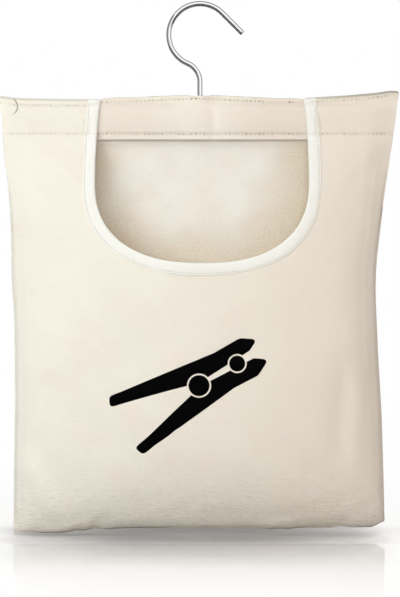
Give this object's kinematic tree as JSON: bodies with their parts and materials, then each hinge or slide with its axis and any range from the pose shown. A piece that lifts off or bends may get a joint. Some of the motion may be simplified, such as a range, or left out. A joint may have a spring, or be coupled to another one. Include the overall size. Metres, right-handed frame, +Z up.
{
  "type": "peg bag",
  "caption": "Canvas clothes-peg bag with a tape-bound U-shaped mouth, hung from a wooden bar in its top hem by a swivelling wire hook.",
  "frame": {"origin": "inside top of the hook, where it rests on a line or a rail, straight above the stem", "axes": "+Z up, +X to the right of someone who looks at the front, front faces -Y"},
  "size_m": [0.33, 0.051, 0.4366],
  "materials": {
    "canvas": "unbleached cotton canvas, matt",
    "tape": "cotton bias tape, matt",
    "thread": "cotton thread, slight sheen",
    "wire": "bright chromed steel wire",
    "wood": "plain turned beech, unvarnished"
  },
  "bodies": {
    "hook": {"hook": "wire", "hook_washer": "wire"},
    "bar": {"bar": "wood"},
    "bag": {"back_panel": "canvas", "front_panel": "canvas", "mouth_binding": "tape", "top_seam_thread_left": "thread", "top_seam_thread_right": "thread", "back_hem_thread": "thread", "binding_thread": "thread", "front_hem_thread_left": "thread", "front_hem_thread_right": "thread", "side_seam_left": "canvas", "side_seam_right": "canvas", "bottom_seam": "canvas"}
  },
  "joints": [
    {"name": "hook_swivel", "type": "hinge", "parent": "hook", "child": "bar", "pos_m": [0, 0, -0.08715], "axis": [0, 0, 1], "continuous": true},
    {"name": "bag_tilt", "type": "hinge", "parent": "bar", "child": "bag", "pos_m": [0, 0, -0.08715], "axis": [1, 0, 0], "range_deg": [-6, 6]}
  ]
}
